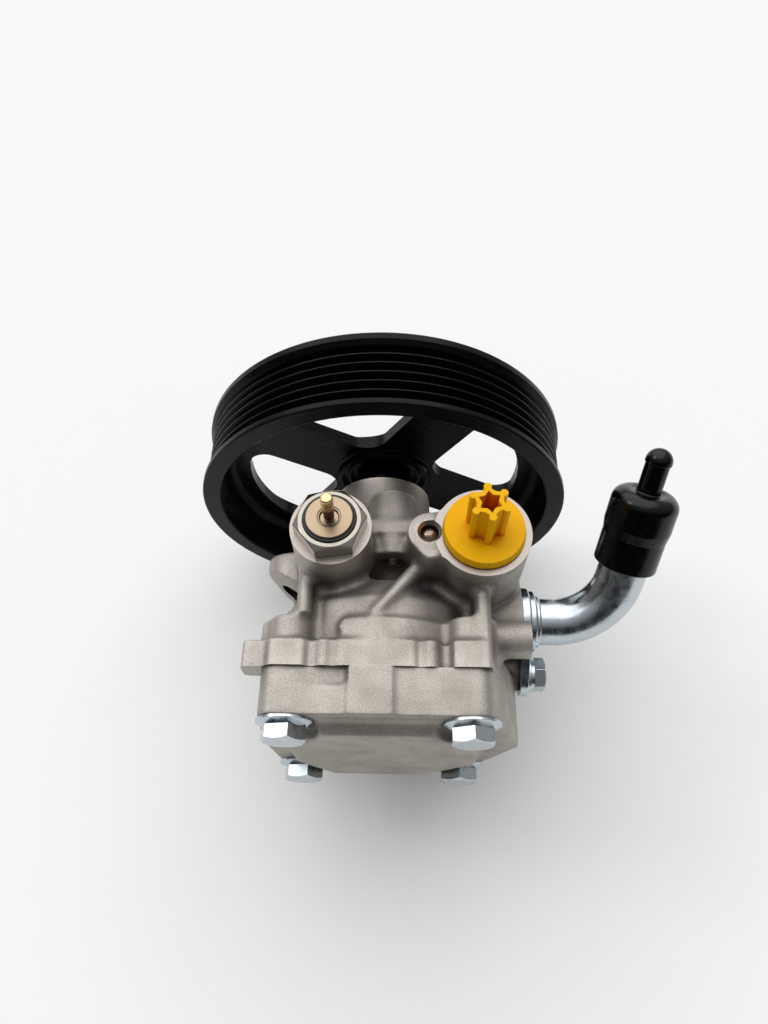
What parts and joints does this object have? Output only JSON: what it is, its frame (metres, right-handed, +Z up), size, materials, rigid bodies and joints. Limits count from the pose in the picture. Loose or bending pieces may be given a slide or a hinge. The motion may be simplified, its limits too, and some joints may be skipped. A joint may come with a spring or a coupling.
{
  "type": "power steering pump",
  "caption": "Vane pump in a cast housing, driven by a ribbed belt pulley, with a bent suction pipe, a pressure switch and transport caps on its ports.",
  "frame": {"origin": "on the shaft axis, in the middle of the belt track", "axes": "+X right seen from the pump's rear, +Y forward along the shaft to the pulley's front, +Z up towards the ports"},
  "size_m": [0.1595, 0.1195, 0.132],
  "materials": {
    "castings": "shot blasted",
    "black_paint": "satin",
    "zinc_plate": "bright plated",
    "zinc_pipe": "bright plated",
    "ground_steel": "ground",
    "spring_steel": "drawn",
    "ball_steel": "oxidised",
    "bronze": "sintered",
    "nickel": "bright plated",
    "tan_resin": "satin",
    "terminal_brass": "turned",
    "seal_rubber": "moulded",
    "black_vinyl": "semi-gloss",
    "yellow_plastic": "moulded"
  },
  "bodies": {
    "housing": {"pump_body": "castings", "rear_cover": "castings", "cover_seal": "seal_rubber", "cover_bolts": "zinc_plate", "front_bush": "bronze", "rear_bush": "bronze", "shaft_seal": "seal_rubber", "seal_spring": "spring_steel", "cam_ring": "ground_steel", "side_plate": "ground_steel", "outer_plate_seal": "seal_rubber", "inner_plate_seal": "seal_rubber", "dowel_pins": "ground_steel", "valve_seat": "ground_steel", "valve_spring": "spring_steel", "gallery_ball": "ball_steel", "switch_body": "nickel", "switch_spring": "spring_steel", "switch_ring": "seal_rubber", "switch_insulator": "tan_resin", "switch_terminal": "terminal_brass", "suction_pipe": "zinc_pipe", "suction_plate": "zinc_plate", "suction_seal": "seal_rubber", "suction_bolt": "zinc_plate", "suction_flat_washer": "zinc_plate", "suction_spring_washer": "zinc_plate"},
    "rotating_group": {"pulley": "black_paint", "drive_shaft": "ground_steel", "rotor": "ground_steel", "vanes": "ground_steel", "rotor_ring": "ground_steel"},
    "flow_valve": {"valve_spool": "ground_steel"},
    "pressure_plunger": {"switch_plunger": "ground_steel"},
    "plug": {"outlet_plug": "yellow_plastic"},
    "cap": {"pipe_cap": "black_vinyl"}
  },
  "joints": [
    {"name": "shaft_spin", "type": "hinge", "parent": "housing", "child": "rotating_group", "pos_m": [0, 0, 0], "axis": [0, 1, 0], "continuous": true},
    {"name": "valve_slide", "type": "slide", "parent": "housing", "child": "flow_valve", "axis": [0, 0, -1], "range_m": [0, 0.005], "stiffness_N_per_m": 300, "springref_m": -0.002, "deforming": ["valve_spring"]},
    {"name": "plunger_slide", "type": "slide", "parent": "housing", "child": "pressure_plunger", "axis": [0, 0, 1], "range_m": [0, 0.0015], "stiffness_N_per_m": 300, "springref_m": -0.001, "deforming": ["switch_spring"]},
    {"name": "plug_pull", "type": "slide", "parent": "housing", "child": "plug", "axis": [0, 0, 1], "range_m": [0, 0.02]},
    {"name": "cap_pull", "type": "slide", "parent": "housing", "child": "cap", "axis": [0.1737, 0.6022, 0.7792], "range_m": [0, 0.025]}
  ]
}
